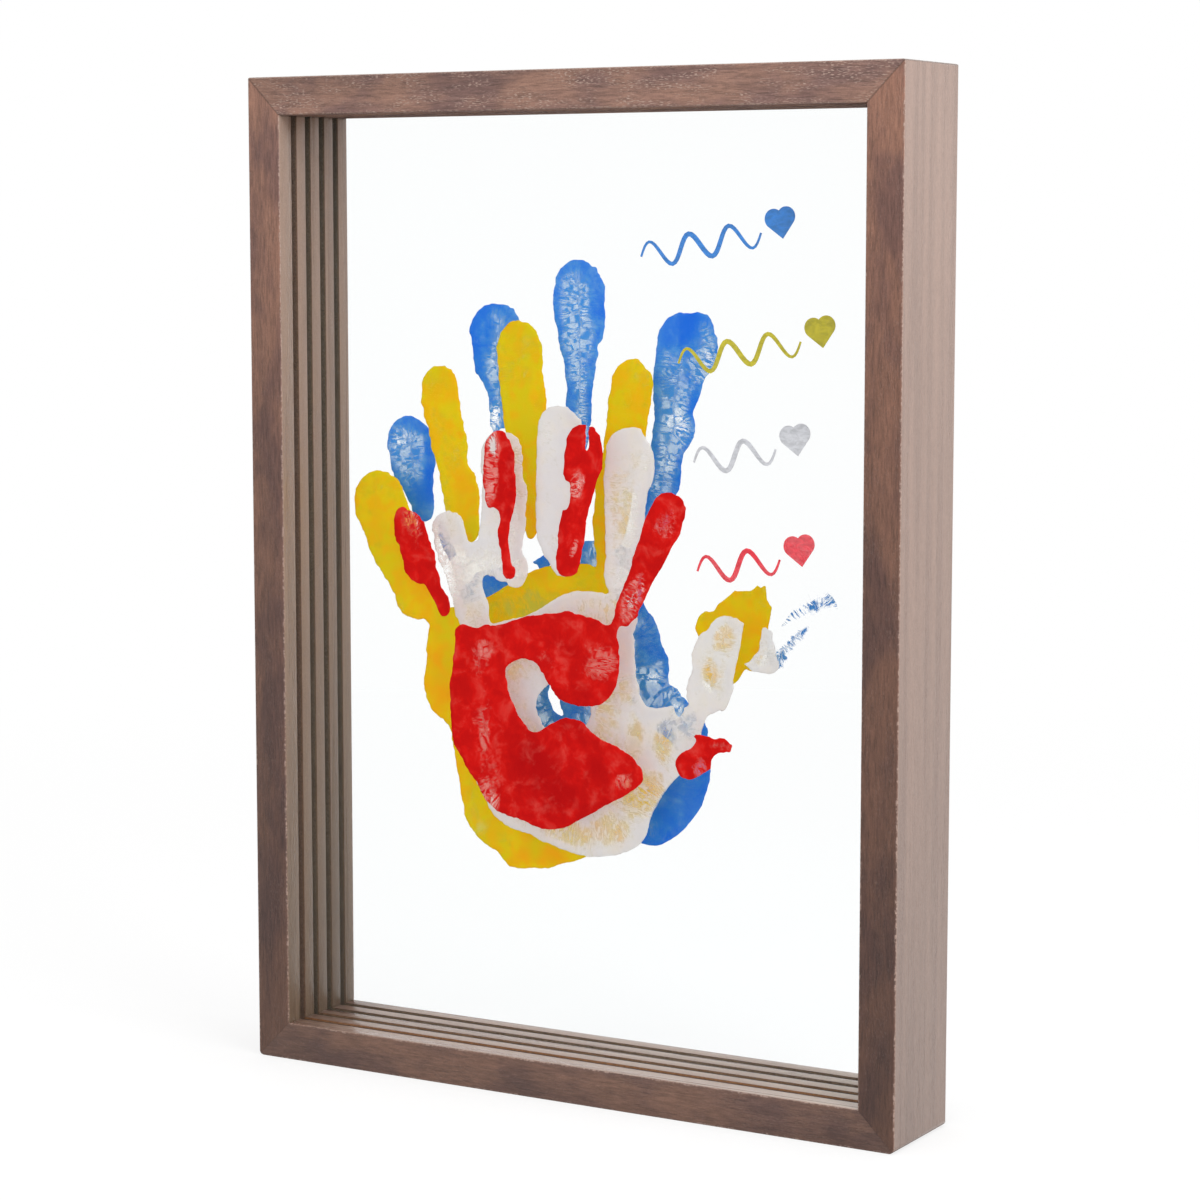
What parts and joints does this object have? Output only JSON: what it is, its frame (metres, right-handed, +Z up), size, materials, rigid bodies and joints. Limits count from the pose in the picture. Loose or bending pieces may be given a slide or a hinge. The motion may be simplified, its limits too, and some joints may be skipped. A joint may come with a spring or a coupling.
{
  "type": "handprint frame",
  "caption": "Deep mitred wooden box frame with grooved inner walls that hold clear panes, each with a painted handprint and a painted mark; the top rail lifts off to slide the panes out.",
  "frame": {"origin": "under the middle of the frame, on the surface it stands on", "axes": "+Z up along the frame's height, +X to the right seen from the front, and the front faces -Y"},
  "size_m": [0.229, 0.037, 0.316],
  "materials": {
    "moulding": "brown stain, open grain",
    "clear_pane": "clear acrylic, polished",
    "red_paint": "dry craft paint",
    "white_paint": "dry craft paint",
    "yellow_paint": "dry craft paint",
    "blue_paint": "dry craft paint",
    "steel": "zinc plated"
  },
  "bodies": {
    "frame": {"left_stile": "moulding", "right_stile": "moulding", "bottom_rail": "moulding", "corner_nails": "steel"},
    "top_rail": {"top_rail": "moulding", "top_screws": "steel"},
    "red_pane": {"red_pane": "clear_pane", "red_print": "red_paint", "red_mark": "red_paint"},
    "white_pane": {"white_pane": "clear_pane", "white_print": "white_paint", "white_mark": "white_paint"},
    "yellow_pane": {"yellow_pane": "clear_pane", "yellow_print": "yellow_paint", "yellow_mark": "yellow_paint"},
    "blue_pane": {"blue_pane": "clear_pane", "blue_print": "blue_paint", "blue_mark": "blue_paint"}
  },
  "joints": [
    {"name": "top_rail_lift", "type": "slide", "parent": "frame", "child": "top_rail", "axis": [0, 0, 1], "range_m": [0, 0.4]},
    {"name": "red_pane_slide", "type": "slide", "parent": "frame", "child": "red_pane", "axis": [0, 0, 1], "range_m": [0, 0.32]},
    {"name": "white_pane_slide", "type": "slide", "parent": "frame", "child": "white_pane", "axis": [0, 0, 1], "range_m": [0, 0.34]},
    {"name": "yellow_pane_slide", "type": "slide", "parent": "frame", "child": "yellow_pane", "axis": [0, 0, 1], "range_m": [0, 0.361]},
    {"name": "blue_pane_slide", "type": "slide", "parent": "frame", "child": "blue_pane", "axis": [0, 0, 1], "range_m": [0, 0.381]}
  ],
  "couplings": [
    {"joint": "red_pane_slide", "follows": "top_rail_lift", "ratio": 0.8},
    {"joint": "white_pane_slide", "follows": "top_rail_lift", "ratio": 0.85},
    {"joint": "yellow_pane_slide", "follows": "top_rail_lift", "ratio": 0.9},
    {"joint": "blue_pane_slide", "follows": "top_rail_lift", "ratio": 0.95}
  ]
}
